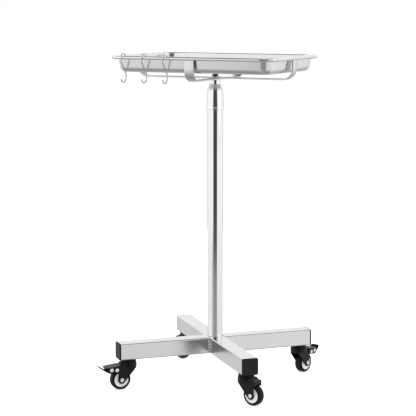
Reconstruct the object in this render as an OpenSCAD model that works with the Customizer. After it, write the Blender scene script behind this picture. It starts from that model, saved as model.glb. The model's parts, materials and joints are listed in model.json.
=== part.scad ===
// Instrument cart: a lift-off steel tray on a cradle of crossed straps, carried by a
// telescopic mast on a four-legged base with swivel casters. Three wire hooks hang on the rim.
// The origin is on the floor under the mast's axis. +Z is up, +X runs along the tray's long
// side, and -Y is the side where the hooks hang. Millimetres and degrees.

/* [Base] */
// Width and height of the square leg tube
leg_w = 40; // [36:1:40]
// Wall of the leg tube
leg_wall = 1.5; // [1.2:0.1:2]
// Outside corner radius of the leg tube
leg_corner = 3; // [2.5:0.5:4]
// Mast axis to the face of a leg's end cap
leg_reach = 252; // [220:1:300]
// Thickness of an end cap's flange
cap_t = 4; // [3:0.5:6]
// End cap's face to the caster's swivel axis
caster_inset = 27; // [24:1:40]

/* [Casters] */
// Tyre diameter
wheel_d = 50; // [48:1:51]
// Tyre width
wheel_w = 20; // [18:1:21]
// Swivel axis to axle, along the floor
trail = 21.5; // [20:0.5:24]
// Floor to the underside of the leg
caster_h = 75; // [75:1:90]
// Way the left caster trails, from +X
left_trail = 229; // [0:1:359]
// Way the front caster trails, from +X
front_trail = 349; // [0:1:359]
// Way the right caster trails, from +X
right_trail = 77; // [0:1:359]
// Way the back caster trails, from +X
back_trail = 152; // [0:1:359]
// Travel of a brake pedal
pedal_travel = 18; // [10:1:18]

/* [Mast] */
// Outside diameter of the fixed pole
pole_d = 38; // [38:1:38]
// Outside diameter of the sliding rod
rod_d = 25; // [25:1:25]
// Floor to the top of the pole
pole_top = 692; // [600:1:800]
// Height of the lock collar above its lip
collar_h = 50; // [46:1:60]

/* [Cradle] */
// Width of a strap
strap_w = 25; // [20:1:30]
// Thickness of a strap
strap_t = 3; // [2:0.5:4]
// Outside radius of a strap's bends
strap_bend = 30; // [20:1:34]

/* [Tray] */
// Length over the rim
tray_l = 440; // [400:5:480]
// Width over the rim
tray_w = 304; // [280:2:340]
// Depth from the rim's top to the underside
tray_depth = 39; // [36:1:42]
// Floor to the rim's top, with the mast down
rim_h = 811; // [811:1:811]
// Corner radius of the rim
rim_corner = 44; // [40:1:60]
// Reach of the rim past the wall's top
rim_reach = 16.3; // [16:0.1:18]
// Radius of the rolled edge
roll_r = 4; // [3:0.5:4.5]
// Sheet thickness
sheet = 1; // [0.8:0.1:1.2]

/* [Hooks] */
// Wire diameter
wire_d = 3; // [2.5:0.5:3.5]
// Radius of both bends, to the wire's centre
hook_r = 12; // [11.5:0.5:13]
// Left hook's place along the rim
hook_first = -175; // [-175:1:-150]
// Spacing of the hooks
hook_pitch = 56; // [45:1:58]

/* [Hidden] */
$fn = 96;
run_fit = 0.05;      // radial clearance of a running fit
clear = 0.3;         // gap between parts that pass each other

leg_z = caster_h + leg_w / 2;
leg_top = caster_h + leg_w;
leg_end = leg_reach - cap_t;
caster_reach = leg_reach - caster_inset;
LEFT = 225;          // way each leg points, from +X
FRONT = 315;
RIGHT = 45;
BACK = 135;
cap_plug = 12;       // how far an end cap goes into its tube
weld = 4.5;          // leg of a fillet weld

wheel_r = wheel_d / 2;
core_r = 17.8;       // wheel core, inside its tyre
axle_r = 3;
stem_r = 5;
stem_top = 93;
nut_af = 17;         // across flats of the M10 nuts and the foot bolt's head
nut_h = 8;
head_r = 20.5;       // swivel head of the fork
head_top = 66;
head_under = 57;
cheek_in = 11.2;     // half the space between the fork's cheeks
cheek_out = 14.2;
boss_r = 9.5;        // fork's end round the axle
visor_x = 34;        // reach of the plain fork's visor behind the swivel axis
visor_top = 60.5;    // and how high it stands
AXLE = [trail, wheel_r];
PIVOT = [34.7, 51.5]; // brake pedal's pivot, along the trail and up
SHOE_PIN = [48.6, 52.7];
flange_in = cheek_out + clear;
flange_out = flange_in + 1.5;

pole_r = pole_d / 2;
pole_bore = 17.5;
rod_r = rod_d / 2;
rod_bore = 11;
rod_low = 137;
rod_top = 752;
bush_h = 30;
guide_h = 40;        // length of the guide in the pole's top
collet_r = 15;
collet_top = pole_top + 33;
lip_z = pole_top - 13;
collar_top = lip_z + collar_h;

short_z = rod_top;   // the short strap lies on the rod, and the long one on the short one
long_z = rod_top + strap_t;
strap_top = rim_h - sheet - 0.2;
strap_bolt_r = 4;

tray_z = rim_h - tray_depth;
draft = 7;           // slope of the tray's walls
floor_r = 15;        // outside radius between wall and floor
wall_run = (tray_depth - floor_r + floor_r * sin(draft)) / cos(draft);
wall_top_x = rim_corner - rim_reach;
floor_x = wall_top_x - floor_r * cos(draft) - wall_run * sin(draft);
corner_x = tray_l / 2 - rim_corner;
corner_y = tray_w / 2 - rim_corner;

wire_r = wire_d / 2;
knuckle = 0.1;       // how far a joint in the wire stands proud
hook_y = -tray_w / 2 + 9.4;     // centre of a hook's upper bend
hook_top_z = rim_h - 6.2;
hook_low_z = rim_h - 51.5;      // centre of its lower bend
hook_shoulder_z = rim_h - 15;   // the shank slants between these two heights
hook_knee_z = rim_h - 41;
hook_tip = 160;                 // turn of the lower bend, from the shank to the tip

// Where the line from p touches the circle round c, on the side given by 1 or -1
function touch(p, c, r, side) =
    let (v = p - c, a = atan2(v[1], v[0]) + side * acos(r / norm(v)))
    c + r * [cos(a), sin(a)];

// A rectangle with round corners, centred
module round_rect(x, y, r) {
    square([x, y - 2 * r], center = true);
    square([x - 2 * r, y], center = true);
    for (sx = [-1, 1], sy = [-1, 1])
        translate([sx * (x / 2 - r), sy * (y / 2 - r)]) circle(r);
}

module ring(r_out, r_in, h) {
    difference() {
        cylinder(r = r_out, h = h);
        translate([0, 0, -1]) cylinder(r = r_in, h = h + 2);
    }
}

module hex(af, h) {
    cylinder(r = af / 2 / cos(30), h = h, $fn = 6);
}

// Sweeps a side view, drawn as (along the trail, up), across a width
module across(w) {
    rotate([90, 0, 0]) linear_extrude(w, center = true) children();
}

// ---- base ----

module leg_section() {
    inner = leg_w - 2 * leg_wall;
    difference() {
        round_rect(leg_w, leg_w, leg_corner);
        round_rect(inner, inner, leg_corner - leg_wall);
    }
}

// A tube along X from x0 to x1, with a stem hole at each place in its floor
module leg_tube(x0, x1, stems) {
    difference() {
        translate([x0, 0, leg_z]) rotate([90, 0, 90]) linear_extrude(x1 - x0) leg_section();
        for (x = stems) translate([x, 0, caster_h - 1]) cylinder(r = stem_r + 0.2, h = leg_wall + 2);
    }
}

module front_rear_tube() {
    color("gainsboro") rotate(FRONT) difference() {
        leg_tube(-leg_end, leg_end, [-caster_reach, caster_reach]);
        translate([0, 0, caster_h - 1]) cylinder(r = stem_r + 0.2, h = leg_w + 2);
    }
}

module side_leg_tube(way) {
    color("gainsboro") rotate(way) leg_tube(leg_w / 2, leg_end, [caster_reach]);
}

// Upright fillets in the four inner corners of the cross
module leg_weld_beads() {
    h = leg_w - 2 * leg_corner;
    color("silver") for (way = [0 : 90 : 270])
        rotate(way + RIGHT) translate([leg_w / 2, leg_w / 2, leg_z - h / 2])
            linear_extrude(h) polygon([[0, 0], [weld, 0], [0, weld]]);
}

module end_cap(way) {
    plug = leg_w - 2 * leg_wall - 0.2;
    color([0.08, 0.08, 0.08]) rotate(way) translate([leg_end, 0, leg_z]) rotate([90, 0, 90]) {
        linear_extrude(cap_t) round_rect(leg_w, leg_w, leg_corner);
        translate([0, 0, -cap_plug]) linear_extrude(cap_plug) difference() {
            round_rect(plug, plug, leg_corner - leg_wall);
            round_rect(plug - 4, plug - 4, leg_corner - leg_wall);
        }
    }
}

// ---- pole and its fittings ----

module pole_tube() {
    color("lightgray") translate([0, 0, leg_top]) ring(pole_r, pole_bore, pole_top - leg_top);
}

module pole_foot_plug() {
    color("gray") translate([0, 0, leg_top]) ring(pole_bore - run_fit, stem_r + run_fit, 12);
}

module pole_foot_bolt() {
    color("silver") {
        translate([0, 0, caster_h - 7]) hex(nut_af, 7);
        translate([0, 0, caster_h - 1]) cylinder(r = stem_r, h = leg_w + 11);
    }
}

module pole_guide_bush() {
    color("ivory") {
        translate([0, 0, pole_top - guide_h]) ring(pole_bore - run_fit, rod_r + run_fit, guide_h);
        translate([0, 0, pole_top]) ring(pole_r - 0.1, rod_r + run_fit, 2);
    }
}

// Split ring that the collar squeezes onto the rod
module grip_collet() {
    low = pole_top + 2;
    color("ivory") difference() {
        translate([0, 0, low]) ring(collet_r, rod_r + run_fit, collet_top - low);
        translate([0, -1, low - 1]) cube([collet_r + 1, 2, collet_top - low + 2]);
    }
}

module lock_collar() {
    bore_step = pole_top + 3;
    color("lightgray") rotate_extrude() polygon([
        [pole_r + clear, lip_z], [pole_r + 3, lip_z], [pole_r + 3, lip_z + 3],
        [pole_r + 1.9, lip_z + 11], [pole_r - 0.4, collar_top], [collet_r + clear, collar_top],
        [collet_r + clear, bore_step], [pole_r + clear, bore_step]
    ]);
}

module collar_cap() {
    color("silver") rotate_extrude() polygon([
        [rod_r + clear, collar_top], [pole_r - 0.8, collar_top], [pole_r - 0.8, collar_top + 1.5],
        [rod_r + 1.3, collar_top + 12], [rod_r + clear, collar_top + 12]
    ]);
}

// ---- sliding mast ----

module rod_guide_bush() {
    color("ivory") translate([0, 0, rod_low + 2]) ring(pole_bore - run_fit, rod_r + run_fit, bush_h);
}

module mast_rod() {
    color("lightgray") translate([0, 0, rod_low]) ring(rod_r, rod_bore, rod_top - rod_low);
}

module rod_end_plug() {
    color("gray") translate([0, 0, rod_low - 4]) {
        cylinder(r = collet_r, h = 4);
        cylinder(r = rod_bore - run_fit, h = 18);
    }
}

module rod_retaining_ring() {
    color("silver") translate([0, 0, rod_low + 2.3 + bush_h]) ring(collet_r, rod_r, 1.7);
}

module rod_top_plug() {
    color("gray") translate([0, 0, rod_top - 17]) ring(rod_bore - run_fit, strap_bolt_r + run_fit, 17);
}

// ---- cradle ----

// A flat bar bent up at both ends, drilled for the bolt
module strap(half, z) {
    flat = half - strap_bend;
    difference() {
        translate([-flat, -strap_w / 2, z]) cube([2 * flat, strap_w, strap_t]);
        translate([0, 0, z - 1]) cylinder(r = strap_bolt_r + 0.2, h = strap_t + 2);
    }
    for (turn = [0, 180]) rotate(turn) translate([flat, 0, z + strap_bend]) {
        rotate([90, 0, 0]) translate([0, 0, -strap_w / 2]) difference() {
            intersection() {
                cylinder(r = strap_bend, h = strap_w);
                translate([0, -strap_bend, 0]) cube([strap_bend, strap_bend, strap_w]);
            }
            translate([0, 0, -1]) cylinder(r = strap_bend - strap_t, h = strap_w + 2);
        }
        translate([strap_bend - strap_t, -strap_w / 2, 0])
            cube([strap_t, strap_w, strap_top - z - strap_bend]);
    }
}

strap_gap = 2 * roll_r + 1.5; // rim's edge to a strap's outer face

module long_strap() {
    color("silver") strap(tray_l / 2 - strap_gap, long_z);
}

module short_strap() {
    color("silver") rotate(90) strap(tray_w / 2 - strap_gap, short_z);
}

module strap_washer() {
    color("silver") translate([0, 0, long_z + strap_t]) ring(11, strap_bolt_r + 0.2, 1.5);
}

module strap_bolt() {
    seat = long_z + strap_t + 1.5;
    color("dimgray") {
        translate([0, 0, rod_top - 15]) cylinder(r = strap_bolt_r, h = seat - rod_top + 16);
        translate([0, 0, seat]) hex(13, 6);
    }
}

// ---- tray ----

// Half section through wall and rim: x outward from a corner's centre, y up from the underside
module tray_section() {
    out = [cos(draft), -sin(draft)];
    foot = [floor_x, floor_r] + floor_r * out;
    thick = sheet / cos(draft);
    polygon([foot, [wall_top_x, tray_depth], [wall_top_x - thick, tray_depth], foot - sheet * out]);
    intersection() {
        translate([floor_x, floor_r]) difference() {
            circle(floor_r);
            circle(floor_r - sheet);
        }
        far = 2 * floor_r;
        translate([floor_x, floor_r]) polygon([[0, 0], [0, -far], [far, -far], [far, -far * tan(draft)]]);
    }
    translate([wall_top_x - thick, tray_depth - sheet])
        square([rim_corner - roll_r - wall_top_x + thick, sheet]);
    translate([rim_corner - roll_r, tray_depth - roll_r]) difference() {
        circle(roll_r);
        circle(roll_r - sheet);
        translate([-roll_r - 1, -1.5]) square([roll_r, 3]);
    }
}

module tray() {
    color("gainsboro") translate([0, 0, tray_z]) {
        for (side = [0, 1]) {
            reach = side == 0 ? corner_x : corner_y;
            run = side == 0 ? 2 * corner_y : 2 * corner_x;
            for (turn = [0, 180]) rotate(90 * side + turn) translate([reach, 0, 0])
                across(run) tray_section();
        }
        for (k = [0 : 3]) {
            sx = k == 0 || k == 3 ? 1 : -1;
            sy = k < 2 ? 1 : -1;
            translate([sx * corner_x, sy * corner_y, 0]) rotate(90 * k)
                rotate_extrude(angle = 90) tray_section();
        }
        linear_extrude(sheet) round_rect(2 * (corner_x + floor_x), 2 * (corner_y + floor_x), floor_x);
    }
}

// ---- hooks ----

// Wire bent round the X axis, from the side nearer the tray over the top
module wire_bend(turn) {
    rotate([90, 0, 90]) rotate_extrude(angle = turn) translate([hook_r, 0]) circle(wire_r, $fn = 32);
}

// A straight of wire from one (y, z) to another, with a round end at each
module wire_run(a, b) {
    v = b - a;
    translate([0, a[0], a[1]]) rotate([atan2(-v[0], v[1]), 0, 0]) cylinder(r = wire_r, h = norm(v), $fn = 32);
    for (p = [a, b]) translate([0, p[0], p[1]]) sphere(wire_r + knuckle, $fn = 32);
}

module hook(x) {
    outer = hook_y - hook_r;
    inner = hook_y + hook_r;
    color("silver") translate([x, 0, 0]) {
        translate([0, hook_y, hook_top_z]) wire_bend(180);
        translate([0, hook_y, hook_low_z]) mirror([0, 0, 1]) wire_bend(hook_tip);
        wire_run([inner, hook_top_z - 1], [inner, hook_top_z]);
        wire_run([outer, hook_top_z], [outer, hook_shoulder_z]);
        wire_run([outer, hook_shoulder_z], [inner, hook_knee_z]);
        wire_run([inner, hook_knee_z], [inner, hook_low_z]);
        translate([0, hook_y + hook_r * cos(hook_tip), hook_low_z - hook_r * sin(hook_tip)])
            sphere(wire_r + knuckle, $fn = 32);
    }
}

// ---- casters ----

// Puts a caster part, modelled trailing along +X from the Z axis, under its leg
module at_leg(way, trailing) {
    rotate(way) translate([caster_reach, 0, 0]) rotate(trailing - way) children();
}

module caster_stem() {
    color("silver") {
        translate([0, 0, head_under - 3.8]) cylinder(r = 9, h = 3.5);
        translate([0, 0, head_under - 2]) cylinder(r = stem_r, h = stem_top - head_under + 2);
    }
}

module caster_race() {
    bottom = head_top + 0.4;
    color("dimgray") rotate_extrude() polygon([
        [stem_r + run_fit, bottom], [19.5, bottom], [19.5, bottom + 3.5], [17.5, bottom + 4],
        [17.5, bottom + 5], [19.2, bottom + 5.6], [19.2, caster_h - 1], [18.2, caster_h],
        [stem_r + run_fit, caster_h]
    ]);
}

module stem_nuts() {
    seat = caster_h + leg_wall;
    color("silver") for (way = [LEFT, FRONT, RIGHT, BACK]) at_leg(way, way) difference() {
        translate([0, 0, seat]) hex(nut_af, nut_h);
        translate([0, 0, seat - 1]) cylinder(r = stem_r + run_fit, h = nut_h + 2);
    }
}

// Side view of a fork down to the axle: with a visor, or with ears for the brake pedal
module fork_outline(braked) {
    front = [-head_r, head_top - 7];
    rear = [28.5, 45];
    tail = braked
        ? [[38, 45], [40.5, 48], [40.5, 54], [36, 57], [30, 58.5], [21, 58.5], [21, head_top]]
        : [[visor_x, 46.5], [visor_x, visor_top - 1.2], [visor_x - 1.2, visor_top],
           [27, visor_top], [20, head_top]];
    polygon(concat([[-head_r, head_top], front, touch(front, AXLE, boss_r, 1), AXLE,
                    touch(rear, AXLE, boss_r, -1), rear], tail));
    translate(AXLE) circle(boss_r);
}

// The room between the cheeks for the wheel and the stem's head
module fork_room(braked) {
    back = braked ? 60 : visor_x - 2.5;
    roof = braked ? 60 : visor_top - 3;
    wall_foot = 50.5;
    polygon([[-17, head_under], [-17, 56], [-4.5, 0], [60, 0], [60, wall_foot], [back, wall_foot],
             [back, roof], [21, roof], [21, head_under]]);
}

module fork(braked) {
    color([0.07, 0.07, 0.07]) difference() {
        intersection() {
            across(2 * cheek_out) fork_outline(braked);
            union() {
                cylinder(r = head_r, h = head_top);
                translate([0, -cheek_out, 0]) cube([60, 2 * cheek_out, head_top]);
            }
        }
        across(2 * cheek_in) fork_room(braked);
        if (braked) translate([21, -cheek_in, 0]) cube([60, 2 * cheek_in, head_top + 1]);
        cylinder(r = stem_r + run_fit, h = head_top + 1);
        translate([AXLE[0], 0, AXLE[1]]) rotate([90, 0, 0])
            cylinder(r = axle_r + run_fit, h = 2 * cheek_out + 2, center = true);
        if (braked) translate([PIVOT[0], 0, PIVOT[1]]) rotate([90, 0, 0])
            cylinder(r = axle_r + run_fit, h = 2 * cheek_out + 2, center = true);
    }
    color([0.07, 0.07, 0.07]) translate([0, 0, head_under]) ring(head_r, stem_r + run_fit, head_top - head_under);
}

// A plain pin across the caster with a rivet head at each end
module rivet(place, half, head) {
    translate([place[0], 0, place[1]]) rotate([90, 0, 0]) {
        cylinder(r = axle_r, h = 2 * half, center = true);
        for (s = [0, 1]) mirror([0, 0, s]) translate([0, 0, half]) cylinder(r1 = head, r2 = head - 0.8, h = 1.4);
    }
}

module axle() {
    color("lightgray") rivet(AXLE, cheek_out, 5.2);
}

module wheel_core() {
    hub = 6;
    color("lightgray") translate([AXLE[0], 0, AXLE[1]]) rotate([90, 0, 0]) rotate_extrude() polygon([
        [axle_r + run_fit, -cheek_in + 0.2], [hub, -cheek_in + 0.2], [hub + 1, -wheel_w / 2 + 2],
        [core_r - 2, -wheel_w / 2 + 1.5], [core_r - run_fit, -wheel_w / 2 + 0.5],
        [core_r - run_fit, wheel_w / 2 - 0.5], [core_r - 2, wheel_w / 2 - 1.5],
        [hub + 1, wheel_w / 2 - 2], [hub, cheek_in - 0.2], [axle_r + run_fit, cheek_in - 0.2]
    ]);
}

// A tyre with round shoulders
module tyre() {
    shoulder = 4;
    flat = wheel_w - 2 * shoulder;
    color([0.05, 0.05, 0.05]) translate([AXLE[0], 0, AXLE[1]]) rotate([90, 0, 0]) rotate_extrude() {
        translate([core_r, -wheel_w / 2]) square([wheel_r - shoulder - core_r, wheel_w]);
        translate([core_r, -flat / 2]) square([wheel_r - core_r, flat]);
        for (s = [-1, 1]) translate([wheel_r - shoulder, s * flat / 2]) intersection() {
            circle(shoulder);
            translate([0, -shoulder]) square(2 * shoulder);
        }
    }
}

// Upper lip, side flanges and the curled lower lip of a pedal, in side view
module pedal_flange() {
    difference() {
        polygon([[23, 61.5], [48, 58.5], [57, 53.5], [58, 48.5], [54, 44.8], [47, 43.8], [30, 46], [23, 50]]);
        for (p = [PIVOT, SHOE_PIN]) translate(p) circle(axle_r + run_fit);
    }
}

module pedal() {
    color([0.12, 0.12, 0.12]) {
        for (s = [-1, 1]) translate([0, s * (flange_in + flange_out) / 2, 0])
            across(flange_out - flange_in) pedal_flange();
        intersection() {
            across(2 * flange_out) union() {
                polygon([[23, 60.5], [63, 55.8], [63, 57.8], [23, 62.5]]);
                polygon([[50, 44.2], [56, 45.6], [62, 48.9], [77.5, 59.2], [76.2, 61.4], [60.6, 51.2],
                         [55, 47.8], [49.6, 46.4]]);
            }
            linear_extrude(80) {
                translate([23, -flange_out]) square([33, 2 * flange_out]);
                translate([56, -13]) square([12, 26]);
                translate([67, 0]) circle(13);
                polygon([[54, -flange_out], [64, -13], [64, 13], [54, flange_out]]);
            }
        }
    }
}

// The block that the pedal drives onto the tyre, hung on its own cross pin
module brake_shoe() {
    color([0.2, 0.2, 0.2]) {
        rivet(SHOE_PIN, flange_out, 4.6);
        difference() {
            across(15) {
                translate(SHOE_PIN) circle(4.4);
                polygon([[44.3, 53.5], [39, 40], [47, 36], [49, 47.5]]);
            }
            // The tyre, as the shoe meets it with the pedal down
            translate([PIVOT[0], 0, PIVOT[1]]) rotate([0, -pedal_travel, 0])
                translate([AXLE[0] - PIVOT[0], 0, AXLE[1] - PIVOT[1]]) rotate([90, 0, 0])
                    cylinder(r = wheel_r + 0.5, h = 40, center = true);
        }
    }
}

module pedal_pin() {
    color("lightgray") rivet(PIVOT, flange_out + 0.1, 4.6);
}

front_rear_tube();
side_leg_tube(LEFT);  // left_leg_tube
side_leg_tube(RIGHT);  // right_leg_tube
leg_weld_beads();
end_cap(LEFT);  // left_end_cap
end_cap(FRONT);  // front_end_cap
end_cap(RIGHT);  // right_end_cap
end_cap(BACK);  // back_end_cap
pole_tube();
pole_foot_plug();
pole_foot_bolt();
pole_guide_bush();
grip_collet();
at_leg(LEFT, left_trail) caster_stem();  // left_caster_stem
at_leg(FRONT, front_trail) caster_stem();  // front_caster_stem
at_leg(RIGHT, right_trail) caster_stem();  // right_caster_stem
at_leg(BACK, back_trail) caster_stem();  // back_caster_stem
at_leg(LEFT, left_trail) caster_race();  // left_caster_race
at_leg(FRONT, front_trail) caster_race();  // front_caster_race
at_leg(RIGHT, right_trail) caster_race();  // right_caster_race
at_leg(BACK, back_trail) caster_race();  // back_caster_race
stem_nuts();
lock_collar();
collar_cap();
rod_guide_bush();
mast_rod();
rod_end_plug();
rod_retaining_ring();
rod_top_plug();
short_strap();
long_strap();
strap_washer();
strap_bolt();
tray();
hook(hook_first);  // left_hook
hook(hook_first + hook_pitch);  // middle_hook
hook(hook_first + 2 * hook_pitch);  // right_hook
at_leg(LEFT, left_trail) fork(true);  // left_fork
at_leg(LEFT, left_trail) axle();  // left_axle
at_leg(LEFT, left_trail) wheel_core();  // left_wheel_core
at_leg(LEFT, left_trail) tyre();  // left_tyre
at_leg(FRONT, front_trail) fork(false);  // front_fork
at_leg(FRONT, front_trail) axle();  // front_axle
at_leg(FRONT, front_trail) wheel_core();  // front_wheel_core
at_leg(FRONT, front_trail) tyre();  // front_tyre
at_leg(RIGHT, right_trail) fork(true);  // right_fork
at_leg(RIGHT, right_trail) axle();  // right_axle
at_leg(RIGHT, right_trail) wheel_core();  // right_wheel_core
at_leg(RIGHT, right_trail) tyre();  // right_tyre
at_leg(BACK, back_trail) fork(false);  // back_fork
at_leg(BACK, back_trail) axle();  // back_axle
at_leg(BACK, back_trail) wheel_core();  // back_wheel_core
at_leg(BACK, back_trail) tyre();  // back_tyre
at_leg(LEFT, left_trail) pedal();  // left_pedal
at_leg(LEFT, left_trail) brake_shoe();  // left_brake_shoe
at_leg(LEFT, left_trail) pedal_pin();  // left_pedal_pin
at_leg(RIGHT, right_trail) pedal();  // right_pedal
at_leg(RIGHT, right_trail) brake_shoe();  // right_brake_shoe
at_leg(RIGHT, right_trail) pedal_pin();  // right_pedal_pin
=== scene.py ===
"""Instrument cart: the looks of a tray stand on casters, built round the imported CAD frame.

Shapes are drawn in millimetres and stored in metres. Caster parts are drawn in the caster's own
frame: X along the trail, Y along the axle, Z up from the floor under the swivel.
"""
import json
import math
import bmesh
import bpy
from mathutils import Matrix, Vector, noise


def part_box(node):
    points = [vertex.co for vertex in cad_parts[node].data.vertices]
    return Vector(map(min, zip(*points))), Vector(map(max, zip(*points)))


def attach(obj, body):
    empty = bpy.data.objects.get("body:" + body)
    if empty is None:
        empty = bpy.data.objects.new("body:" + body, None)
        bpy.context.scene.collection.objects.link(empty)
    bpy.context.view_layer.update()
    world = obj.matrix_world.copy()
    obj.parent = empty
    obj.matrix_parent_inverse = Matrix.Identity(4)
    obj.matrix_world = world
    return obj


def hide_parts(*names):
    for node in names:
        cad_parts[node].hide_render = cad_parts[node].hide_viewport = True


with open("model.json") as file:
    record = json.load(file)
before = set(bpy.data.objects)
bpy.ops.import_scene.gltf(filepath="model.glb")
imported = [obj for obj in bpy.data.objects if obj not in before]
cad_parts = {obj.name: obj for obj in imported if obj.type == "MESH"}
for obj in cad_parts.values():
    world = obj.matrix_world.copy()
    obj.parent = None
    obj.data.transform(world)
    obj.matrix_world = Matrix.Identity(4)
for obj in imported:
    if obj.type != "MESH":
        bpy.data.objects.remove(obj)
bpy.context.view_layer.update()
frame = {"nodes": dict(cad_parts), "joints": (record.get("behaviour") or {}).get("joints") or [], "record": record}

MM = 0.001
UP = Vector((0, 0, 1))
JOINTS = {j["name"]: j for j in frame["joints"]}
NODES = frame["nodes"]
BODY_OF = {n: b for b, ns in frame["record"]["behaviour"]["bodies"].items() for n in ns}
SLOT_OF = {s["node"]: s["material_slot"] for s in frame["record"]["subparts"]}
CASTERS = ("left", "front", "right", "back")
BRAKED = ("left", "right")
QUADRANTS = ((1, 1), (-1, 1), (-1, -1), (1, -1))

# Sizes that more than one shape shares, in millimetres.
CAP_FLANGE = 4.0                       # an end cap's depth outside the tube
TRAY_CORNER = 44.0                     # the tray's corner, over the rolled rim
HOOK_WIRE = 1.5                        # the radius of the hooks' wire
RIVET_RISE = 1.4                       # a rivet head's height over its cheek

STEEL_TINT = (1.0, 1.0, 1.01)

# The photograph's viewpoint, in metres and radians.
VIEW_AZIMUTH = math.radians(25.91)     # the camera stands this far to the right of -Y
VIEW_DISTANCE = 3.5296
VIEW_HEIGHT = 0.9406
VIEW_DOWN = 0.142                      # tilt below the horizon
VIEW_PAN = 0.005
VIEW_LENS = 125.24                     # millimetres, on a 36 mm sensor


def span(node):
    """A node's lowest and highest corner, in millimetres."""
    low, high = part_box(node)
    return low / MM, high / MM


# ---- flat shapes ----

def full_turn(steps):
    """Angles spread evenly round a circle."""
    return [2 * math.pi * k / steps for k in range(steps)]


def quarter_turn(steps):
    """Angles from 0 to 90 degrees, both included."""
    return [math.radians(90 * k / steps) for k in range(steps + 1)]


def fillet(points, radius, steps=5, closed=True):
    """Rounds the corners of a polyline. A point may carry its own radius as a third number."""
    out = []
    last = len(points) - 1
    for i, point in enumerate(points):
        here = Vector(point[:2])
        r = point[2] if len(point) > 2 else radius
        if r <= 0 or (not closed and i in (0, last)):
            out.append(here)
            continue
        back = Vector(points[i - 1][:2]) - here
        ahead = Vector(points[(i + 1) % len(points)][:2]) - here
        half_side = min(back.length, ahead.length) * 0.49
        half_angle = max(0.05, back.angle(ahead) / 2)
        cut = min(r / math.tan(half_angle), half_side)
        start = here + back.normalized() * cut
        end = here + ahead.normalized() * cut
        for k in range(steps + 1):
            t = k / steps
            out.append(start * (1 - t) ** 2 + here * 2 * t * (1 - t) + end * t * t)
    return out


def arc(centre, radius, start, end, steps):
    """Points on a circle from one angle to another, in degrees."""
    angles = [math.radians(start + (end - start) * k / steps) for k in range(steps + 1)]
    return [Vector((centre[0] + radius * math.cos(a), centre[1] + radius * math.sin(a)))
            for a in angles]


def round_rect(width, height, radius, steps=6):
    """A rectangle round the origin, with round corners."""
    x, y = width / 2 - radius, height / 2 - radius
    out = []
    for k, (sx, sy) in enumerate(QUADRANTS):
        out += arc((sx * x, sy * y), radius, 90 * k, 90 * k + 90, steps)
    return out


# ---- meshes ----

def finish_mesh(name, mesh, crease=32):
    """Outward normals, and smooth shading that stops at real edges."""
    work = bmesh.new()
    work.from_mesh(mesh)
    bmesh.ops.recalc_face_normals(work, faces=work.faces)
    work.to_mesh(mesh)
    work.free()
    mesh.name = name
    mesh.polygons.foreach_set("use_smooth", [True] * len(mesh.polygons))
    mesh.set_sharp_from_angle(angle=math.radians(crease))
    mesh.update()
    return mesh


def to_mesh(name, verts, faces, crease=32):
    """A finished mesh from points in millimetres."""
    mesh = bpy.data.meshes.new(name)
    mesh.from_pydata([tuple(Vector(v) * MM) for v in verts], [], faces)
    return finish_mesh(name, mesh, crease)


def skin(rings, loop=False):
    """Joins rings of points, each a closed outline, and closes both ends unless the rings loop."""
    count = len(rings[0])
    verts = [v for ring in rings for v in ring]
    faces = []
    for i in range(len(rings) if loop else len(rings) - 1):
        a, b = i * count, (i + 1) % len(rings) * count
        for k in range(count):
            n = (k + 1) % count
            faces.append((a + k, a + n, b + n, b + k))
    if not loop:
        faces.append(tuple(reversed(range(count))))
        faces.append(tuple(range(len(verts) - count, len(verts))))
    return verts, faces


def lathe(profile, closed=True, steps=128, place=None):
    """Turns a profile of (radius, height) round the Z axis, or round the axis that place gives.

    A closed profile makes a ring. An open one starts and ends near the axis, and is capped there.
    """
    rings = []
    for r, z in profile:
        ring = [Vector((r * math.cos(a), r * math.sin(a), z)) for a in full_turn(steps)]
        rings.append([place @ v for v in ring] if place else ring)
    return skin(rings, closed)


def along(path, side, outline, scales):
    """Sweeps an outline of (across, out) along a path that lies in a plane square to side.

    scales has the outline's size at each point of the path.
    """
    rings = []
    for i, (point, s) in enumerate(zip(path, scales)):
        tangent = (path[min(i + 1, len(path) - 1)] - path[max(i - 1, 0)]).normalized()
        out = tangent.cross(side)
        rings.append([point + side * p[0] * s + out * p[1] * s for p in outline])
    return skin(rings)


def join(*parts):
    """Several shapes' points and faces as one."""
    verts, faces = [], []
    for v, f in parts:
        base = len(verts)
        verts += v
        faces += [tuple(base + i for i in face) for face in f]
    return verts, faces


def bar_shape(low, high):
    """A straight bar between two corners, for a detail that a remesh then rounds."""
    x0, y0, z0 = low
    x1, y1, z1 = high
    foot = ((x0, y0), (x1, y0), (x1, y1), (x0, y1))
    return skin([[Vector((x, y, z)) for x, y in foot] for z in (z0, z1)])


# ---- materials ----

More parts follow.
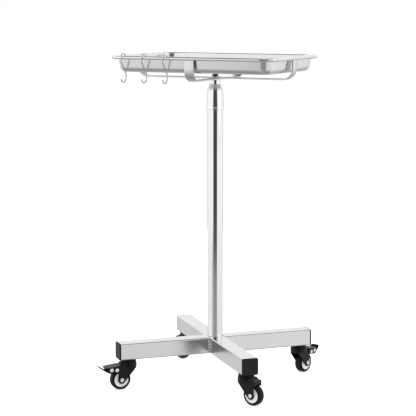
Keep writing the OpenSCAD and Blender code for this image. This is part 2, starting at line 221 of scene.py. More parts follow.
class Surface:
    """A material made of nodes. Constants go on the shader's own sockets."""

    def __init__(self, name, **constants):
        self.material = bpy.data.materials.new(name)
        self.material.use_nodes = True
        self.tree = self.material.node_tree
        self.tree.nodes.clear()
        out = self.tree.nodes.new("ShaderNodeOutputMaterial")
        self.shader = self.tree.nodes.new("ShaderNodeBsdfPrincipled")
        self.tree.links.new(self.shader.outputs[0], out.inputs[0])
        for key, value in constants.items():
            self.shader.inputs[key.replace("_", " ")].default_value = value

    def node(self, kind, **inputs):
        """A shader node with some of its inputs set or linked."""
        made = self.tree.nodes.new("ShaderNode" + kind)
        for key, value in inputs.items():
            self.plug(made, key.replace("_", " "), value)
        return made

    def plug(self, node, key, value):
        if isinstance(value, bpy.types.NodeSocket):
            self.tree.links.new(value, node.inputs[key])
        else:
            node.inputs[key].default_value = value

    def noise(self, scale, detail=3.0, stretch=(1, 1, 1), turn=0.0):
        """Noise over the piece's own coordinates, stretched, and turned about Z in degrees."""
        place = self.node("TexCoord").outputs["Object"]
        mapped = self.node("Mapping", Vector=place, Scale=stretch)
        if turn:
            mapped.vector_type = "TEXTURE"     # turns the pattern before it is stretched
            mapped.inputs["Scale"].default_value = [1 / s for s in stretch]
            mapped.inputs["Rotation"].default_value = (0, 0, math.radians(turn))
        made = self.node("TexNoise", Vector=mapped.outputs[0], Scale=scale, Detail=detail)
        return made.outputs["Fac"]

    def ranged(self, value, low, high, start=0.3, end=0.7):
        """Maps start..end, which most of a noise lies in, to low..high."""
        made = self.node("MapRange", Value=value, From_Min=start, From_Max=end,
                         To_Min=low, To_Max=high)
        return made.outputs[0]

    def sum(self, first, second):
        made = self.node("Math")
        made.operation = "ADD"
        self.plug(made, 0, first)
        self.plug(made, 1, second)
        return made.outputs[0]

    def mixed(self, value, first, second):
        """A colour from the first to the second as the value goes from 0 to 1."""
        made = self.tree.nodes.new("ShaderNodeMix")
        made.data_type = "RGBA"
        self.tree.links.new(value, made.inputs[0])
        made.inputs[6].default_value = (*first, 1)
        made.inputs[7].default_value = (*second, 1)
        return made.outputs[2]

    def colour(self, value):
        self.plug(self.shader, "Base Color", value)

    def rough(self, value):
        self.plug(self.shader, "Roughness", value)

    def bump(self, height, depth_mm, strength=1.0):
        made = self.node("Bump", Height=height, Distance=depth_mm * MM, Strength=strength)
        self.tree.links.new(made.outputs[0], self.shader.inputs["Normal"])


def brushed(name, tone, rough, turn, depth=0.002):
    """Steel brushed along one direction, in degrees from X, with faint handling marks."""
    s = Surface(name, Metallic=1.0)
    lines = s.noise(60, 4, (0.25, 14, 14), turn)
    cloud = s.noise(9, 3)
    low = [tone * 0.955 * c for c in STEEL_TINT]
    high = [tone * 1.02 * c for c in STEEL_TINT]
    s.colour(s.mixed(s.ranged(cloud, 0, 1), low, high))
    s.rough(s.sum(s.ranged(lines, rough * 0.8, rough * 1.15), s.ranged(cloud, -0.02, 0.035)))
    s.bump(lines, depth)
    return s.material


def polished(name, tone, rough, depth=0.0004, smudge=0.05):
    """Bright plated or polished steel, with soft smudges and hairline scratches."""
    s = Surface(name, Metallic=1.0)
    cloud = s.noise(22, 4)
    hair = s.noise(90, 5, (1, 1, 22))
    low = [tone * 0.97 * c for c in STEEL_TINT]
    high = [min(1, tone * 1.02 * c) for c in STEEL_TINT]
    s.colour(s.mixed(s.ranged(cloud, 0, 1), low, high))
    s.rough(s.sum(s.ranged(cloud, rough, rough + smudge, 0.35, 0.8),
                  s.ranged(hair, 0, smudge * 0.4, 0.45, 0.8)))
    s.bump(hair, depth)
    return s.material


def moulded_plastic(name, colour, rough, grain_mm=0.35, depth=0.03, **constants):
    """Moulded plastic or rubber: a fine grain, a little uneven gloss and paler rubbed patches."""
    s = Surface(name, **{"Specular_IOR_Level": 0.17, **constants})
    cloud = s.noise(35, 4)
    grain = s.noise(1 / (grain_mm * MM), 2)
    rubbed = [c * 1.25 + 0.003 for c in colour]
    s.colour(s.mixed(s.ranged(cloud, 0, 1, 0.35, 0.8), [c * 0.85 for c in colour], rubbed))
    s.rough(s.ranged(cloud, rough * 0.85, rough * 1.2))
    s.bump(grain, depth, 0.6)
    return s.material


def make_materials():
    """The looks by material slot, with one more for each direction that steel is brushed in."""
    leg = {"tone": 0.80, "rough": 0.24}
    strap = {"tone": 0.78, "rough": 0.26}
    return {
        "leg_rear": brushed("leg_steel_front_rear", turn=-45, **leg),
        "leg_side": brushed("leg_steel_sides", turn=45, **leg),
        "weld_steel": brushed("weld_steel", tone=0.55, rough=0.22, turn=20, depth=0.02),
        "pole_chrome": polished("pole_chrome", tone=0.90, rough=0.05),
        "tray_steel": polished("tray_steel", tone=0.80, rough=0.15, depth=0.0006, smudge=0.08),
        "strap_long": brushed("strap_steel_long", turn=0, **strap),
        "strap_short": brushed("strap_steel_short", turn=90, **strap),
        "hook_wire": polished("hook_wire", tone=0.68, rough=0.09),
        "cap_plastic": moulded_plastic("cap_plastic", (0.010, 0.010, 0.011), rough=0.42),
        "fork_plastic": moulded_plastic("fork_plastic", (0.004, 0.004, 0.0045), rough=0.28),
        "pedal_steel": moulded_plastic("pedal_steel", (0.005, 0.005, 0.0055), rough=0.32,
                                       grain_mm=0.5, depth=0.01),
        "tyre_rubber": moulded_plastic("tyre_rubber", (0.005, 0.005, 0.005), rough=0.42,
                                       grain_mm=0.6, depth=0.04),
        "core_plastic": moulded_plastic("core_plastic", (0.80, 0.80, 0.81), rough=0.34,
                                        grain_mm=0.5, depth=0.02, Specular_IOR_Level=0.5),
        "zinc_steel": polished("zinc_steel", tone=0.88, rough=0.2, depth=0.002, smudge=0.1),
        "bolt_steel": polished("bolt_steel", tone=0.16, rough=0.32, depth=0.003, smudge=0.1),
        "nylon": moulded_plastic("nylon", (0.74, 0.71, 0.62), rough=0.45, Specular_IOR_Level=0.5),
    }


MATERIALS = make_materials()


def paint(obj, key):
    """Gives an object one material, in place of what it had."""
    obj.data.materials.clear()
    obj.data.materials.append(MATERIALS[key])


def piece(name, mesh, node, look=None, place=None, slot=None):
    """A piece that stands for a CAD node, rides on its body and takes its material slot."""
    obj = bpy.data.objects.new(name, mesh)
    bpy.context.scene.collection.objects.link(obj)
    if place is not None:
        obj.matrix_world = place
    if look or not mesh.materials:
        paint(obj, look or slot or SLOT_OF[node])
    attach(obj, BODY_OF[node])
    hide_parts(node)


# ---- base ----

def cap_mesh():
    """An end cap along +X from the tube's end: a crowned face with round edges, and its plug."""
    low, high = span("left_end_cap")
    size = high.z - low.z
    edge, corner, wall, plug_depth = 1.1, 3.0, 1.6, 12.0
    rim = CAP_FLANGE - edge
    # Each ring of the face is (distance out of the tube, inset from the outline).
    rings = [(-0.01, 0), (rim, 0)]
    rings += [(rim + edge * math.sin(a), edge - edge * math.cos(a)) for a in quarter_turn(5)[1:]]
    rings[-1] = (CAP_FLANGE - 0.12, edge)
    rings += [(CAP_FLANGE - 0.1, 3.0), (CAP_FLANGE - 0.02, 7.0), (CAP_FLANGE, 12.0)]
    face = [[Vector((d, p.x, p.y))
             for p in round_rect(size - 2 * i, size - 2 * i, max(0.5, corner - i))]
            for d, i in rings]
    plug = size - 2 * wall
    skirt = [(0, plug), (-plug_depth + 1.5, plug), (-plug_depth, plug - 1.6),
             (-plug_depth, plug - 4), (0, plug - 4)]
    lip = [[Vector((d, p.x, p.y)) for p in round_rect(w, w, 1.5)] for d, w in skirt]
    return to_mesh("end_cap", *join(skin(face), skin(lip, True)))


def build_end_caps():
    """One cap mesh at each leg's end, its plug's side toward the cross."""
    mesh = cap_mesh()
    for name in CASTERS:
        node = name + "_end_cap"
        swivel = Vector(JOINTS[name + "_swivel"]["pos_m"])
        way = math.atan2(swivel.y, swivel.x)
        low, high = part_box(node)
        corners = [Vector((x, y, 0)) for x in (low.x, high.x) for y in (low.y, high.y)]
        half = (high.z - low.z) / 2
        reach = max(c.length for c in corners) - half - CAP_FLANGE * MM
        place = Matrix.Rotation(way, 4, "Z")
        place.translation = Vector((reach * math.cos(way), reach * math.sin(way),
                                    (low.z + high.z) / 2))
        piece(node.replace("end_cap", "cap_moulded"), mesh, node, place=place)


def weld_bead(corner, way, low, high, size):
    """A rippled fillet up an inner corner of the cross. way is the corner's open side."""
    pitch, step, root, taper, ripple = 7.5, 0.3, -0.2, 1.5, 2.6
    count = int((high - low) / step)
    rings = []
    for i in range(count + 1):
        z = low + (high - low) * i / count
        end = min(1.0, (z - low) / taper + 0.25, (high - z) / taper + 0.25)
        wave = abs(math.sin(math.pi * (z - low) / pitch)) ** 0.7
        flat = size * end * 0.98
        ring = [Vector((root, root, z)), Vector((size * end, root, z))]
        for a in quarter_turn(8):
            lump = noise.noise(Vector((corner.x, corner.y + a, z)) * 0.6) * 0.25
            height = (0.2 * size + ripple * wave + lump) * end
            bulge = 0.6 * height * math.sin(2 * a)
            ring.append(Vector((flat * (1 - math.sin(a)) + bulge,
                                flat * (1 - math.cos(a)) + bulge, z)))
        ring.append(Vector((root, size * end, z)))
        rings.append([corner + Matrix.Rotation(way, 3, "Z") @ v for v in ring])
    return skin(rings)


def build_welds():
    """A bead in each of the cross's four inner corners."""
    low, high = span("leg_weld_beads")
    tube_low, tube_high = span("front_rear_tube")
    half = (tube_high.z - tube_low.z) / 2
    size = high.x * math.sqrt(2) - 2 * half
    beads = []
    for k in range(4):
        way = math.pi / 2 * k + math.pi / 4
        corner = Matrix.Rotation(way, 3, "Z") @ Vector((half, half, 0))
        beads.append(weld_bead(corner, way, low.z, high.z, size))
    mesh = to_mesh("weld_beads", *join(*beads), crease=60)
    piece("weld_beads_rippled", mesh, "leg_weld_beads")


# ---- mast ----

def ring_profile(node, bore, soft):
    """A plain ring's section, to a CAD node's height and outer radius, with softened edges."""
    low, high = span(node)
    radius = (high.x - low.x) / 2
    return fillet([(bore, low.z), (radius, low.z), (radius, high.z), (bore, high.z)], soft, 4)


def turned(name, node, profile, steps=128):
    """A piece turned round the mast's axis."""
    piece(name, to_mesh(name, *lathe(profile, steps=steps)), node)


def build_mast():
    turned("pole_outer", "pole_tube", ring_profile("pole_tube", bore=17.5, soft=0.35), 160)
    turned("rod_inner", "mast_rod", ring_profile("mast_rod", bore=11.0, soft=0.6))
    build_collar()
    build_collar_cap()


def build_collar():
    """The lock collar: a lip with a rolled edge, and a long taper up to its cap."""
    low, high = span("lock_collar")
    lip = (high.x - low.x) / 2
    body, top, bore, neck = lip - 1.1, lip - 3.4, lip - 2.7, lip - 6.7
    step = low.z + 16                  # the bore narrows to the neck above the pole's end
    outline = [(bore, low.z, 0.3), (lip, low.z, 0.9), (lip, low.z + 3, 1.2), (body, low.z + 8, 6),
               (body - 0.5, low.z + 20, 12), (top, high.z - 0.05, 1.2), (neck, high.z, 0.2),
               (neck, step, 0.2), (bore, step, 0.2)]
    turned("lock_collar_turned", "lock_collar", fillet(outline, 0.3, 7), 160)


def build_collar_cap():
    """The cone over the collar, with a round crown about the rod."""
    low, high = span("collar_cap")
    foot = (high.x - low.x) / 2
    bore, crown = foot - 5.4, foot - 4.4
    outline = [(bore, low.z + 0.1, 0.2), (foot, low.z + 0.1, 0.5), (foot, low.z + 1.6, 0.8),
               (crown + 0.9, high.z - 1.6, 2.5), (crown, high.z, 0.6), (bore, high.z, 0.2)]
    turned("collar_cap_turned", "collar_cap", fillet(outline, 0.3, 7))


# ---- cradle ----

def strap_mesh(name, node, side):
    """A flat bar with soft edges, bent up at both ends. side is the way across the bar."""
    low, high = span(node)
    run = UP.cross(side)
    half = max(abs(high.dot(run)), abs(low.dot(run)))
    width = abs((high - low).dot(side))
    thick, bend = 3.0, 30.0
    mid = low.z + thick / 2
    flat = half - bend
    reach = bend - thick / 2
    turn = [(flat + reach * math.sin(a), mid + reach - reach * math.cos(a))
            for a in quarter_turn(20)]
    half_path = [(flat * k / 6, mid) for k in range(6)] + turn + [(half - thick / 2, high.z - 1.2)]
    tip = half_path[-1]
    half_path += [(tip[0], tip[1] + 0.8), (tip[0], high.z)]
    path = [(-x, z) for x, z in reversed(half_path[1:])] + half_path
    points = [run * x + UP * z for x, z in path]
    scales = [1.0] * len(points)       # the last two steps at each end round the tip
    for i, s in ((0, 0.86), (1, 0.97), (-1, 0.86), (-2, 0.97)):
        scales[i] = s
    outline = round_rect(width, thick, 0.9, 4)
    return to_mesh(name, *along(points, side, outline, scales))


def hex_radius(angle, across):
    """Distance from the centre to a hexagon's side at an angle."""
    turn = math.radians(60)
    return across / 2 / math.cos((angle + turn / 2) % turn - turn / 2)


def bolt_mesh():
    """A hex head with its corners turned off, on a plain shank."""
    low, high = span("strap_bolt")
    across, chamfer, shank = 13.0, 1.1, 4.0
    head_low = high.z - 6
    tip = across / 2 / math.cos(math.radians(30))
    side = across / 2
    # (height, radius) up the bolt: shank, washer face, hexagon, chamfer, and a dished top.
    levels = [(low.z, shank - 0.6), (low.z + 0.8, shank), (head_low, shank),
              (head_low, side - 0.3), (head_low + 0.3, side + 0.2), (head_low + 1.0, tip),
              (high.z - chamfer * 1.6, tip), (high.z - chamfer, tip - 0.5),
              (high.z - 0.35, side + 0.05), (high.z - 0.08, side - 0.35), (high.z, side - 0.9),
              (high.z - 0.02, 3.6), (high.z - 0.25, 3.2), (high.z - 0.25, 0.6)]
    rings = []
    for z, r in levels:
        around = [(a, min(r, hex_radius(a, across))) for a in full_turn(96)]
        rings.append([Vector((d * math.cos(a), d * math.sin(a), z)) for a, d in around])
    return to_mesh("bolt_hex", *skin(rings), crease=24)


def build_cradle():
    for way, side in (("long", (0, 1, 0)), ("short", (1, 0, 0))):
        name, node = f"strap_{way}_bar", f"{way}_strap"
        piece(name, strap_mesh(name, node, Vector(side)), node, look=f"strap_{way}")
    turned("washer_pressed", "strap_washer", ring_profile("strap_washer", bore=4.2, soft=0.35), 96)
    piece("bolt_hex", bolt_mesh(), "strap_bolt")


# ---- tray ----

def tray_profile():
    """Inner surface from the floor up and over the rim into its curl, then back along the outside.

    Each point is (distance out from the corner's centre, height over the tray's foot).
    """
    sheet, depth, roll, floor_bend, rim_bend = 1.0, 39.0, 4.0, 15.0, 2.6
    draft, curl_end = 7.0, -196        # degrees
    wall_top = TRAY_CORNER - 16.3      # the wall meets the rim here
    slope = math.radians(draft)
    run = (depth - floor_bend + floor_bend * math.sin(slope)) / math.cos(slope)
    floor_x = wall_top - floor_bend * math.cos(slope) - run * math.sin(slope)
    roll_x = TRAY_CORNER - roll
    line = [Vector((2.0, sheet / 2)), Vector((floor_x * 0.5, sheet / 2))]
    line += arc((floor_x, floor_bend), floor_bend - sheet / 2, -90, -draft, 12)
    wall_end = Vector((wall_top - sheet / 2, depth - sheet / 2))
    rim = [line[-1], wall_end, (roll_x, depth - sheet / 2)]
    line += fillet(rim, rim_bend, 7, False)[1:-1]
    line += arc((roll_x, depth - roll), roll - sheet / 2, 90, curl_end, 26)
    inner, outer = [], []
    for i, p in enumerate(line):
        t = (line[min(i + 1, len(line) - 1)] - line[max(i - 1, 0)]).normalized()
        out = Vector((t.y, -t.x)) * sheet / 2
        inner.append(p - out)
        outer.append(p + out)
    return inner + outer[::-1]


def build_tray():
    """The profile carried round the tray's outline: four round corners and the sides between."""
    corner_steps, side_steps = 16, 8
    low, high = span("tray")
    centres = [Vector((sx * (high.x - TRAY_CORNER), sy * (high.y - TRAY_CORNER), low.z))
               for sx, sy in QUADRANTS]
    stations = []
    for k, here in enumerate(centres):
        for j in range(corner_steps + 1):
            a = math.radians(90 * k + 90 * j / corner_steps)
            stations.append((here, Vector((math.cos(a), math.sin(a), 0))))
        there = centres[(k + 1) % 4]
        stations += [(here.lerp(there, t / side_steps), stations[-1][1])
                     for t in range(1, side_steps)]
    profile = tray_profile()
    count, n = len(profile), len(stations)
    verts = [c + d * p.x + UP * p.y for c, d in stations for p in profile]
    faces = []
    for i in range(n):
        a, b = i * count, (i + 1) % n * count
        faces += [(a + k, a + k + 1, b + k + 1, b + k) for k in range(count - 1)]
    faces.append(tuple(i * count for i in range(n)))
    faces.append(tuple(reversed([i * count + count - 1 for i in range(n)])))
    piece("tray_pressed", to_mesh("tray_pressed", verts, faces, crease=40), "tray")


# ---- hooks ----

def hook_path(low, high):
    """The wire's centre line in the YZ plane: tip, lower bend, slanting shank, upper bend, tip."""
    bend, tip_angle = 12.0, 200
    y = (low.y + high.y) / 2
    top_z, low_z = high.z - HOOK_WIRE - bend, low.z + HOOK_WIRE + bend
    shoulder, knee = top_z - 8.8, low_z + 10.5
    corners = [(y + bend, low_z), (y + bend, knee), (y - bend, shoulder), (y - bend, top_z)]
    pts = arc((y, low_z), bend, tip_angle, 360, 36)
    for first, second in zip(corners, corners[1:]):
        pts += [Vector(first).lerp(Vector(second), k / 12) for k in range(1, 12)]
    pts += arc((y, top_z), bend, 180, 0, 36) + [Vector((y + bend, top_z - 1))]
    for _ in range(8):                 # each pass eases the bends where the stretches meet
        eased = [pts[i] * 0.5 + (pts[i - 1] + pts[i + 1]) * 0.25 for i in range(1, len(pts) - 1)]
        pts = [pts[0]] + eased + [pts[-1]]
    return pts


def hook_mesh(node):
    """Round wire along the hook's path, with a domed end at each tip."""
    low, high = span(node)
    middle = (low.x + high.x) / 2
    path = [Vector((middle, p.x, p.y)) for p in hook_path(low, high)]
    first = (path[0] - path[1]).normalized()
    last = (path[-1] - path[-2]).normalized()
    dome = [math.radians(a) for a in (18, 36, 54, 72, 86)]
    head = [path[0] + first * HOOK_WIRE * math.sin(a) for a in reversed(dome)]
    tail = [path[-1] + last * HOOK_WIRE * math.sin(a) for a in dome]
    narrowing = [math.cos(a) for a in dome]
    scales = narrowing[::-1] + [1.0] * len(path) + narrowing
    circle = [(HOOK_WIRE * math.cos(a), HOOK_WIRE * math.sin(a)) for a in full_turn(24)]
    shape = along(head + path + tail, Vector((1, 0, 0)), circle, scales)
    return to_mesh(node + "_wire", *shape, crease=60)


def build_hooks():
    for name in ("left", "middle", "right"):
        node = name + "_hook"
        piece(node + "_wire", hook_mesh(node), node)


# ---- casters ----

def caster_place(name):
    """The caster's own frame, as a matrix in metres, and its axle's place in it, in millimetres."""
    swivel = Vector(JOINTS[name + "_swivel"]["pos_m"])
    axle = Vector(JOINTS[name + "_wheel_spin"]["pos_m"])
    side = Vector(JOINTS[name + "_wheel_spin"]["axis"]).normalized()
    trail = side.cross(UP)
    place = Matrix((trail, side, UP)).transposed().to_4x4()
    place.translation = Vector((swivel.x, swivel.y, 0))
    local = place.inverted() @ axle
    return place, Vector((local.x, 0, local.z)) / MM


Z_TO_Y = Matrix(((1, 0, 0, 0), (0, 0, 1, 0), (0, -1, 0, 0), (0, 0, 0, 1)))


def on_axle(spot):
    """Turns a lathe's Z axis to the caster's Y axis, at a spot in the caster's frame."""
    return Matrix.Translation(spot) @ Z_TO_Y


def local_copy(node, place):
    """The CAD node's mesh in its caster's own frame, as a bmesh in metres."""
    work = bmesh.new()
    work.from_mesh(NODES[node].data)
    bmesh.ops.transform(work, matrix=place.inverted(), verts=work.verts)
    bmesh.ops.remove_doubles(work, verts=work.verts, dist=1e-6)
    return work


def local_span(node, place):
    """A caster node's lowest and highest corner in its caster's own frame, in millimetres."""
    work = local_copy(node, place)
    spots = [v.co / MM for v in work.verts]
    work.free()
    return (Vector([min(v[i] for v in spots) for i in range(3)]),
            Vector([max(v[i] for v in spots) for i in range(3)]))


def trim_sides(work, half_mm):
    """Cuts off what lies further than this from the caster's middle plane, and closes the cuts."""
    for side in (-1, 1):
        geometry = work.verts[:] + work.edges[:] + work.faces[:]
        bmesh.ops.bisect_plane(work, geom=geometry, plane_co=(0, side * half_mm * MM, 0),
                               plane_no=(0, side, 0), clear_outer=True)
        bmesh.ops.holes_fill(work, edges=[e for e in work.edges if e.is_boundary])


def remeshed(name, node, place, voxel_mm, extras=(), smooth=6, trim=None):
    """A moulded version of a CAD node: with its added details, every edge rounded a little."""
    work = local_copy(node, place)
    if trim:
        trim_sides(work, trim)
    for verts, faces in extras:
        made = [work.verts.new(Vector(v) * MM) for v in verts]
        for face in faces:
            work.faces.new([made[i] for i in face])
    bmesh.ops.recalc_face_normals(work, faces=work.faces)
    rough = bpy.data.meshes.new(name + "_rough")
    work.to_mesh(rough)
    work.free()
    obj = bpy.data.objects.new(name + "_rough", rough)
    bpy.context.scene.collection.objects.link(obj)
    grid = obj.modifiers.new("grid", "REMESH")
    grid.mode = "VOXEL"
    grid.voxel_size = voxel_mm * MM
    soften = obj.modifiers.new("soften", "SMOOTH")
    soften.factor = 0.5
    soften.iterations = smooth
    bpy.context.view_layer.update()
    evaluated = obj.evaluated_get(bpy.context.evaluated_depsgraph_get())
    mesh = bpy.data.meshes.new_from_object(evaluated)
    bpy.data.objects.remove(obj)
    return finish_mesh(name, mesh, crease=60)


def rivet_mesh(name, half, spot, shank, head, hollow):
    """A pin across the caster with a turned, hollow-ended head on each side."""
    seat = half - RIVET_RISE
    end = [(shank, 0), (shank, seat), (head, seat, 0.3), (head - 0.3, half - 0.35, 0.8),
           (head - 1.4, half, 0.6), (hollow, half, 0.5), (hollow * 0.55, half - 0.9, 0.6),
           (0.05, half - 0.95)]
    upper = fillet(end, 0.0, closed=False)
    profile = [(p.x, -p.y) for p in reversed(upper)] + [(p.x, p.y) for p in upper[1:]]
    return to_mesh(name, *lathe(profile, False, 48, on_axle(spot)), crease=50)


def tyre_mesh(axle, place):
    """A solid tyre with round shoulders and the mould's seam round its tread."""
    low, high = local_span("left_tyre", place)
    core = local_span("left_wheel_core", place)[1].x - axle.x
    half, radius, shoulder, seam = (high.y - low.y) / 2, axle.z, 4.0, 0.12
    side = [(core, -half + 0.4, 0.3), (core + 0.8, -half, 0.3),
            (radius - shoulder * 0.6, -half, 3.0), (radius, -half + shoulder, 3.0)]
    crown = [(radius, -0.5, 0), (radius + seam, 0, 0), (radius, 0.5, 0)]
    outline = side + crown + [(r, -y, f) for r, y, f in reversed(side)]
    shape = lathe(fillet(outline, 0.3, 7), place=on_axle(axle))
    return to_mesh("tyre_moulded", *shape, crease=50)


def core_mesh(axle, place):
    """The wheel's centre: a hub, a dished web with a raised bead, and the tyre's rim."""
    low, high = local_span("left_wheel_core", place)
    bore, hub, edge, face = 3.05, 6.0, high.x - axle.x, (high.y - low.y) / 2
    rim = local_span("left_tyre", place)[1].y - 0.5
    side = [(bore, face, 0.2), (hub, face, 0.5), (hub + 1.0, rim - 1.5, 1.0),
            (edge - 6.1, rim - 1.9, 0.5), (edge - 5.5, rim - 1.2, 0.4),
            (edge - 4.1, rim - 1.2, 0.4), (edge - 3.5, rim - 1.8, 0.5),
            (edge - 2.0, rim - 1.0, 0.5), (edge - 1.4, rim, 0.6), (edge, rim, 0.4)]
    outline = side + [(r, -y, f) for r, y, f in reversed(side)]
    shape = lathe(fillet(outline, 0.3, 4), steps=96, place=on_axle(axle))
    return to_mesh("core_moulded", *shape, crease=40)


def race_mesh(place):
    """The fixed upper race: a lip over the swivel head, a groove, and a drum up to the leg."""
    low, high = local_span("left_caster_race", place)
    bore, lip, z, top = 5.05, high.x, low.z, high.z
    outline = [(bore, z, 0.1), (lip, z, 0.5), (lip, z + 3.5, 0.7), (lip - 2.0, z + 4, 0.3),
               (lip - 2.0, z + 5, 0.3), (lip - 0.3, z + 5.6, 0.4), (lip - 0.3, top - 1, 0.5),
               (lip - 1.3, top, 0.3), (bore, top, 0.1)]
    return to_mesh("race_pressed", *lathe(fillet(outline, 0.3, 4), steps=96))


def cheek_ring(spot, face, side, radius, bore, thick):
    """A raised ring on a fork's cheek, on the side given by 1 or -1."""
    z0, z1 = side * (face - 0.6), side * (face + thick)
    return lathe([(bore, z0), (radius, z0), (radius, z1), (bore, z1)], steps=48,
                 place=on_axle(spot))


def pedal_ribs(place):
    """Grip ribs across the pedal's upper lip, which slopes down along the trail."""
    count, first, pitch, width, fall = 5, 9.0, 6.5, 2.0, 5.0 / 43
    tongue_from, tongue_half = 53.0, 12.0
    low, high = local_span("left_pedal", place)
    ribs = []
    for k in range(count):
        x = low.x + first + pitch * k
        z = high.z - 0.9 - (x - low.x) * fall
        half = high.y - 1.4 if x < tongue_from else tongue_half
        ribs.append(bar_shape((x, -half, z - 1.0), (x + width, half, z + 1.0)))
    return ribs


def build_casters():
    """Four casters from shared meshes, drawn once in the left and front casters' own frames."""
    left, axle = caster_place("left")
    front, _ = caster_place("front")
    half = local_span("left_axle", left)[1].y
    rings = [cheek_ring(axle, half - RIVET_RISE, side, radius=7.9, bore=6.1, thick=0.9)
             for side in (-1, 1)]
    forks = {
        True: remeshed("fork_braked", "left_fork", left, voxel_mm=0.55, extras=rings),
        False: remeshed("fork_plain", "front_fork", front, voxel_mm=0.55, extras=rings),
    }
    tyre, core = tyre_mesh(axle, left), core_mesh(axle, left)
    race = race_mesh(left)
    pin = rivet_mesh("axle_rivet", half, axle, shank=3.0, head=5.2, hollow=2.4)
    for name in CASTERS:
        place, _ = caster_place(name)
        piece(name + "_race_pressed", race, name + "_caster_race", place=place)
        piece(name + "_fork_moulded", forks[name in BRAKED], name + "_fork", place=place)
        piece(name + "_axle_rivet", pin, name + "_axle", place=place)
        piece(name + "_tyre_moulded", tyre, name + "_tyre", place=place)
        piece(name + "_core_moulded", core, name + "_wheel_core", place=place)
    build_brakes(left)


def shoe_pin_spot(place):
    """Where the brake shoe's cross pin lies, taken from its two ends outside the block."""
    work = local_copy("left_brake_shoe", place)
    ends = [v.co / MM for v in work.verts if abs(v.co.y) > 12 * MM]
    work.free()
    return Vector((sum(v.x for v in ends) / len(ends), 0, sum(v.z for v in ends) / len(ends)))


def build_brakes(left):
    """The pedal and its pivot, and the shoe, cut free of its cross pin, with the pin beside it."""
    pedal = remeshed("pedal_stamped", "left_pedal", left, voxel_mm=0.4, extras=pedal_ribs(left),
                     smooth=3)
    shoe = remeshed("shoe_moulded", "left_brake_shoe", left, voxel_mm=0.4, smooth=3, trim=7.5)
    pivot = left.inverted() @ Vector(JOINTS["left_pedal_press"]["pos_m"]) / MM
    size = {"shank": 3.0, "head": 5.0, "hollow": 2.0}
    half = local_span("left_pedal_pin", left)[1].y
    pin = rivet_mesh("pedal_rivet", half, Vector((pivot.x, 0, pivot.z)), **size)
    half = local_span("left_brake_shoe", left)[1].y
    cross = rivet_mesh("shoe_rivet", half, shoe_pin_spot(left), **size)
    for name in BRAKED:
        place, _ = caster_place(name)
        piece(name + "_pedal_stamped", pedal, name + "_pedal", place=place)
        piece(name + "_shoe_moulded", shoe, name + "_brake_shoe", place=place)
        piece(name + "_shoe_rivet", cross, name + "_brake_shoe", place=place, slot="zinc_steel")
        piece(name + "_pedal_rivet", pin, name + "_pedal_pin", place=place)


# ---- the CAD nodes that stay ----

def paint_cad_nodes():
    """Each by its slot, but the legs brushed along their own length."""
    legs = {"front_rear_tube": "leg_rear",
            "left_leg_tube": "leg_side", "right_leg_tube": "leg_side"}
    for node, obj in NODES.items():
        if not obj.hide_render:
            paint(obj, legs.get(node, SLOT_OF[node]))


# ---- floor, light and camera ----

def build_floor():
    """A white floor, wider than any view. Mirror reflections pass it and show the studio."""
    steps, radius = 96, 2400.0
    circle = [Vector((radius * math.cos(a), radius * math.sin(a), 0)) for a in full_turn(steps)]
    mesh = to_mesh("floor", circle, [tuple(range(steps))])
    obj = bpy.data.objects.new("floor", mesh)
    bpy.context.scene.collection.objects.link(obj)
    s = Surface("floor_white", Roughness=0.9, Emission_Strength=0.55)
    s.shader.inputs["Emission Color"].default_value = (1, 1, 1, 1)
    s.colour(s.mixed(s.ranged(s.noise(3, 2), 0, 1), (0.86, 0.86, 0.86), (0.88, 0.88, 0.88)))
    obj.data.materials.append(s.material)
    obj.visible_glossy = False


def sky_node(tree, kind, operation, *values):
    """A maths node of the world's tree, with its inputs set or linked in order."""
    made = tree.nodes.new("ShaderNode" + kind)
    made.operation = operation
    for i, value in enumerate(values):
        if isinstance(value, bpy.types.NodeSocket):
            tree.links.new(value, made.inputs[i])
        else:
            made.inputs[i].default_value = value
    return made


def smooth_step(tree, value, start, end):
    """0 at start, 1 at end, and an eased run between."""
    made = tree.nodes.new("ShaderNodeMapRange")
    made.interpolation_type = "SMOOTHSTEP"
    tree.links.new(value, made.inputs["Value"])
    made.inputs["From Min"].default_value = start
    made.inputs["From Max"].default_value = end
    return made.outputs[0]


def times(tree, *values):
    """The product of two or more values."""
    out = values[0]
    for value in values[1:]:
        out = sky_node(tree, "Math", "MULTIPLY", out, value).outputs[0]
    return out


def blended(tree, share, first, second):
    """From the first value to the second as the share goes from 0 to 1."""
    made = tree.nodes.new("ShaderNodeMapRange")
    tree.links.new(share, made.inputs["Value"])
    for key, value in (("To Min", first), ("To Max", second)):
        if isinstance(value, bpy.types.NodeSocket):
            tree.links.new(value, made.inputs[key])
        else:
            made.inputs[key].default_value = value
    return made.outputs[0]


def by_height(tree, up, stops):
    """A value that runs straight between stops of (sine of the elevation, value)."""
    ramp = tree.nodes.new("ShaderNodeValToRGB")
    tree.links.new(sky_node(tree, "Math", "MULTIPLY_ADD", up, 0.5, 0.5).outputs[0], ramp.inputs[0])
    line = ramp.color_ramp.elements
    while len(line) < len(stops):
        line.new(0.5)
    for element, (height, value) in zip(line, stops):
        element.position = (height + 1) / 2
        element.color = (value, value, value, 1)
    return ramp.outputs[0]


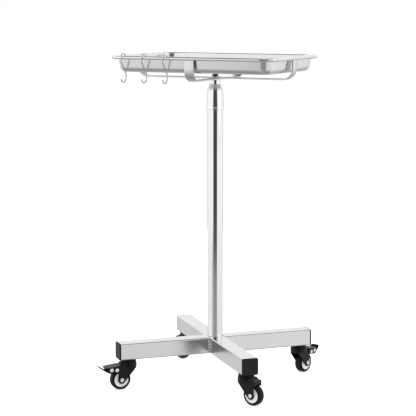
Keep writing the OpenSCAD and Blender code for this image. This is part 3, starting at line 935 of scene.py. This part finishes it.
def build_world():
    """A white studio, darker underfoot and overhead, unlit where the photographer stands.

    Only mirror-like reflections see that pattern: matt surfaces and the camera get plain white.
    """
    world = bpy.data.worlds.new("studio")
    bpy.context.scene.world = world
    world.use_nodes = True
    tree = world.node_tree
    tree.nodes.clear()
    way = Vector((math.sin(VIEW_AZIMUTH), -math.cos(VIEW_AZIMUTH), 0))
    place = tree.nodes.new("ShaderNodeTexCoord").outputs["Generated"]
    level = sky_node(tree, "VectorMath", "MULTIPLY", place, (1, 1, 0)).outputs[0]
    level = sky_node(tree, "VectorMath", "NORMALIZE", level).outputs[0]
    facing = sky_node(tree, "VectorMath", "DOT_PRODUCT", level, way).outputs["Value"]
    left = (way.y, -way.x, 0)
    leftward = sky_node(tree, "VectorMath", "DOT_PRODUCT", level, left).outputs["Value"]
    height = tree.nodes.new("ShaderNodeSeparateXYZ")
    tree.links.new(place, height.inputs[0])
    up = height.outputs[2]
    # The room's two kinds of side, then the regions that differ from the lit one.
    bright = by_height(tree, up, [(-1, 0.33), (-0.77, 0.36), (-0.30, 0.86), (-0.08, 1.0),
                                  (0.1, 1.0)])
    unlit = by_height(tree, up, [(-1, 0.33), (-0.5, 0.4), (-0.26, 0.28), (-0.19, 0.10),
                                 (-0.12, 0.06)])
    opening = times(tree, smooth_step(tree, facing, 0.83, 0.93),
                    smooth_step(tree, up, 0.55, 0.25))
    behind = times(tree, smooth_step(tree, facing, -0.62, -0.95),
                   smooth_step(tree, up, 0.06, -0.02))
    ceiling = smooth_step(tree, up, 0.58, 0.80)
    near_left = times(tree, smooth_step(tree, facing, 0.54, 0.70),
                      smooth_step(tree, leftward, 0.0, 0.3),
                      smooth_step(tree, up, -0.14, -0.24))
    value = blended(tree, near_left, bright, 0.6)
    value = blended(tree, behind, value, 0.5)
    value = blended(tree, opening, value, unlit)
    value = blended(tree, ceiling, value, 0.04)
    path = tree.nodes.new("ShaderNodeLightPath").outputs
    plain = sky_node(tree, "Math", "MAXIMUM", path["Is Camera Ray"], path["Is Diffuse Ray"])
    back = tree.nodes.new("ShaderNodeBackground")
    back.inputs["Color"].default_value = (1, 1, 1, 1)
    tree.links.new(blended(tree, plain.outputs[0], value, 1.0), back.inputs["Strength"])
    out = tree.nodes.new("ShaderNodeOutputWorld")
    tree.links.new(back.outputs[0], out.inputs[0])


def soft_light(name, place, target, size, power):
    """A rectangular lamp, in metres and watts, turned to its target."""
    data = bpy.data.lights.new(name, "AREA")
    data.shape = "RECTANGLE"
    data.size, data.size_y = size
    data.energy = power
    obj = bpy.data.objects.new(name, data)
    bpy.context.scene.collection.objects.link(obj)
    obj.location = place
    obj.rotation_euler = (Vector(target) - Vector(place)).to_track_quat("-Z", "Y").to_euler()


def build_lights():
    soft_light("key_left", (-2.2, -2.0, 2.2), (0, 0, 0.4), (1.2, 1.8), 7)
    soft_light("top_fill", (0.4, 0.6, 3.0), (0, 0, 0.4), (2.2, 2.2), 8)
    soft_light("right_fill", (2.6, 0.2, 1.4), (0, 0, 0.3), (0.8, 1.6), 4)


def build_camera():
    data = bpy.data.cameras.new("view")
    data.lens = VIEW_LENS
    data.sensor_width = 36
    data.clip_start, data.clip_end = 0.1, 100
    obj = bpy.data.objects.new("view", data)
    bpy.context.scene.collection.objects.link(obj)
    obj.location = (VIEW_DISTANCE * math.sin(VIEW_AZIMUTH),
                    -VIEW_DISTANCE * math.cos(VIEW_AZIMUTH), VIEW_HEIGHT)
    obj.rotation_euler = (math.pi / 2 - VIEW_DOWN, 0, VIEW_PAN + VIEW_AZIMUTH)
    bpy.context.scene.camera = obj
    bpy.context.scene.view_settings.view_transform = "Standard"


build_camera()
build_world()
build_lights()
build_floor()
build_end_caps()
build_welds()
build_mast()
build_cradle()
build_tray()
build_hooks()
build_casters()
paint_cad_nodes()
